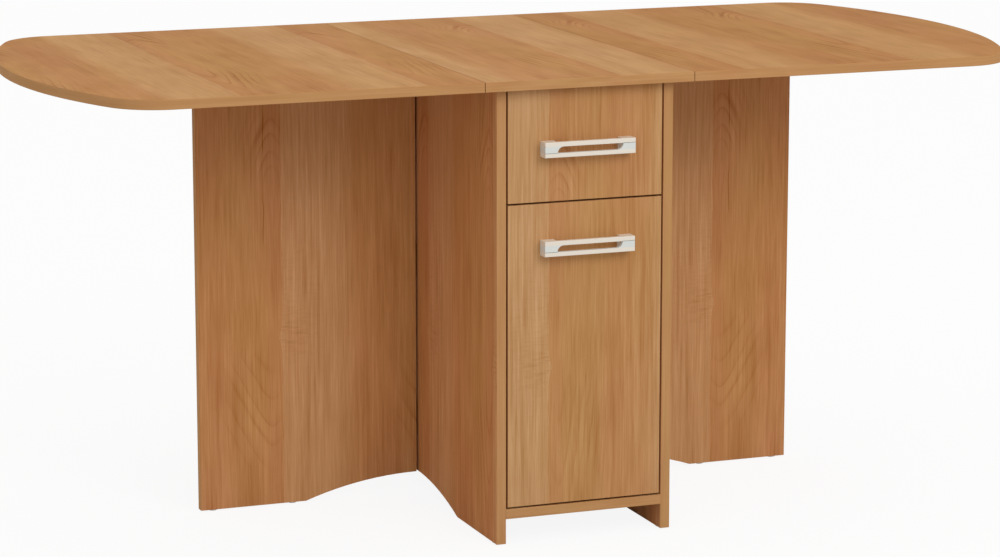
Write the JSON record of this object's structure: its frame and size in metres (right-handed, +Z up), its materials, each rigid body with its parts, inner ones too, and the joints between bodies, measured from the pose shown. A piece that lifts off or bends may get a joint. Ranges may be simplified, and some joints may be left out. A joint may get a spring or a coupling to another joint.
{
  "type": "kitchen table with storage cabinet",
  "caption": "Drop-leaf kitchen table: a narrow cabinet with a drawer and a door carries a fixed middle top, and hinged leaves rest on gates that swing out from its sides.",
  "frame": {"origin": "on the floor, under the middle of the table top", "axes": "+X along the table to the right when facing the drawer and door, +Y from the front to the back, +Z up"},
  "size_m": [1.6678, 0.8, 0.75],
  "materials": {
    "alder_top": "melamine laminate with an alder grain that runs across the table, satin",
    "alder_board": "melamine laminate with an upright alder grain, satin",
    "hardboard": "smooth lacquered hardboard",
    "handle_satin": "satin off-white lacquer",
    "beech": "bare turned beech",
    "runner_enamel": "cream enamel, semi-gloss",
    "white_nylon": "moulded, matt",
    "brown_plastic": "moulded, matt",
    "nickel_steel": "nickel plated",
    "zinc_steel": "bright zinc plated"
  },
  "bodies": {
    "cabinet": {"back_panel": "alder_board", "bottom_panel": "alder_board", "cabinet_glides": "brown_plastic", "cabinet_screws": "zinc_steel", "cam_bolts": "zinc_steel", "cam_locks": "zinc_steel", "door_hinge_arms": "nickel_steel", "door_hinge_bases": "nickel_steel", "dowels": "beech", "gate_hinge_fixed_left": "zinc_steel", "gate_hinge_fixed_right": "zinc_steel", "gate_hinge_pins": "zinc_steel", "leaf_hinge_fixed_left": "zinc_steel", "leaf_hinge_fixed_right": "zinc_steel", "leaf_hinge_pins": "zinc_steel", "loose_shelf": "alder_board", "middle_panel": "alder_board", "runner_channel_left": "runner_enamel", "runner_channel_right": "runner_enamel", "shelf_pins": "zinc_steel", "side_panel_left": "alder_board", "side_panel_right": "alder_board", "top_brackets": "zinc_steel", "top_middle": "alder_top"},
    "drawer": {"drawer_front": "alder_board", "drawer_side_left": "alder_board", "drawer_side_right": "alder_board", "drawer_back": "alder_board", "drawer_bottom": "hardboard", "drawer_cam_locks": "zinc_steel", "drawer_cam_bolts": "zinc_steel", "drawer_screws": "zinc_steel", "drawer_handle": "handle_satin", "drawer_handle_screws": "zinc_steel", "runner_rail_left": "runner_enamel", "runner_rail_right": "runner_enamel"},
    "front_rollers": {"front_rollers": "white_nylon"},
    "rear_rollers": {"rear_rollers": "white_nylon"},
    "door": {"door": "alder_board", "door_hinge_cups": "nickel_steel", "door_screws": "zinc_steel", "door_handle": "handle_satin", "door_handle_screws": "zinc_steel"},
    "gate_left": {"gate_left": "alder_board", "gate_hinge_moving_left": "zinc_steel", "gate_screws_left": "zinc_steel", "gate_glides_left": "brown_plastic"},
    "leaf_left": {"leaf_left": "alder_top", "leaf_hinge_moving_left": "zinc_steel", "leaf_screws_left": "zinc_steel", "gate_stop_left": "brown_plastic"},
    "gate_right": {"gate_right": "alder_board", "gate_hinge_moving_right": "zinc_steel", "gate_screws_right": "zinc_steel", "gate_glides_right": "brown_plastic"},
    "leaf_right": {"leaf_right": "alder_top", "leaf_hinge_moving_right": "zinc_steel", "leaf_screws_right": "zinc_steel", "gate_stop_right": "brown_plastic"}
  },
  "joints": [
    {"name": "drawer_slide", "type": "slide", "parent": "cabinet", "child": "drawer", "axis": [0, -1, 0], "range_m": [0, 0.375]},
    {"name": "front_roller_spin", "type": "hinge", "parent": "cabinet", "child": "front_rollers", "pos_m": [0, -0.346, 0.5775], "axis": [1, 0, 0], "range_deg": [0, 2160]},
    {"name": "rear_roller_spin", "type": "hinge", "parent": "drawer", "child": "rear_rollers", "pos_m": [0, 0.121, 0.5775], "axis": [1, 0, 0], "range_deg": [0, 2160]},
    {"name": "door_hinge", "type": "hinge", "parent": "cabinet", "child": "door", "pos_m": [0.139, -0.381, 0.3055], "axis": [0, 0, 1], "range_deg": [0, 100]},
    {"name": "gate_left_hinge", "type": "hinge", "parent": "cabinet", "child": "gate_left", "pos_m": [-0.1534, 0.0114, 0.4], "axis": [0, 0, -1], "range_deg": [0, 90]},
    {"name": "gate_right_hinge", "type": "hinge", "parent": "cabinet", "child": "gate_right", "pos_m": [0.1534, 0.0114, 0.4], "axis": [0, 0, 1], "range_deg": [0, 90]},
    {"name": "leaf_left_hinge", "type": "hinge", "parent": "cabinet", "child": "leaf_left", "pos_m": [-0.177, 0, 0.7306], "axis": [0, 1, 0], "range_deg": [0, 2.5]},
    {"name": "leaf_right_hinge", "type": "hinge", "parent": "cabinet", "child": "leaf_right", "pos_m": [0.177, 0, 0.7306], "axis": [0, -1, 0], "range_deg": [0, 2.5]}
  ],
  "couplings": [
    {"joint": "front_roller_spin", "follows": "drawer_slide", "rad_per_m": 100},
    {"joint": "rear_roller_spin", "follows": "drawer_slide", "rad_per_m": 100}
  ]
}
